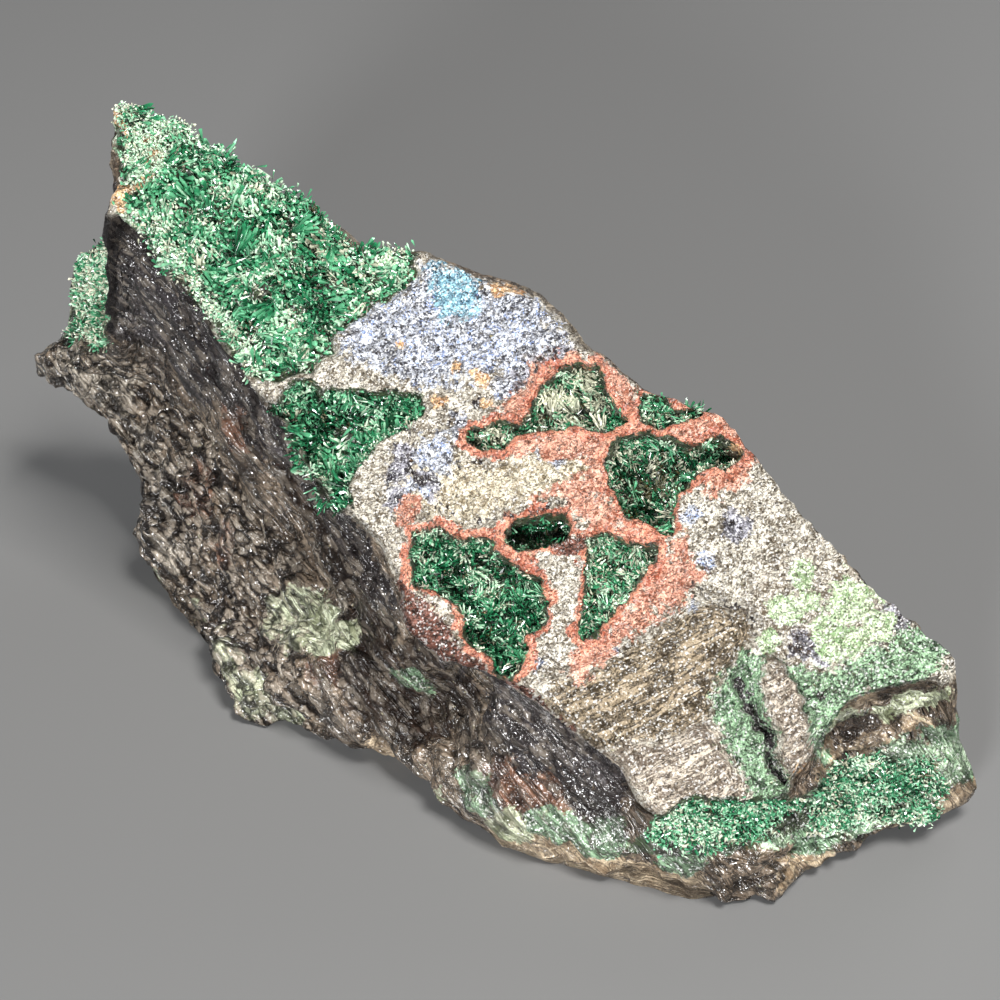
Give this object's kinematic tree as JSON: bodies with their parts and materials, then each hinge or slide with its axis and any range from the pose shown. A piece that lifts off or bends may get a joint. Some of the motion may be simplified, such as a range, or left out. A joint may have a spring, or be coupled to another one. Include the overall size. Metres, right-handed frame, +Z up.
{
  "type": "brochantite mineral specimen",
  "caption": "Wedge of rock with a broken sloping face whose hollows and peak are lined with green needle crystals; rests on its flat underside.",
  "frame": {"origin": "middle of the bounding box, on the plane that the stone rests on", "axes": "+X along the stone from the peak to the thin end, +Y towards its back, +Z up"},
  "size_m": [0.1202, 0.052, 0.0594],
  "materials": {
    "rock": "rough broken stone, granular, with rust, tan and green stains",
    "crystal": "glassy emerald green needle crystals"
  },
  "bodies": {
    "root": {"matrix": "rock", "druse_peak_face": "crystal", "druse_edge_notch": "crystal", "crust_vug_west": "crystal", "crust_vug_slit": "crystal", "crust_vug_wedge": "crystal", "crust_vug_main": "crystal", "crust_vug_north": "crystal", "crust_vug_northeast": "crystal", "crust_front_seam": "crystal", "crust_end_slope": "crystal", "crust_left_ledge": "crystal"}
  },
  "joints": []
}
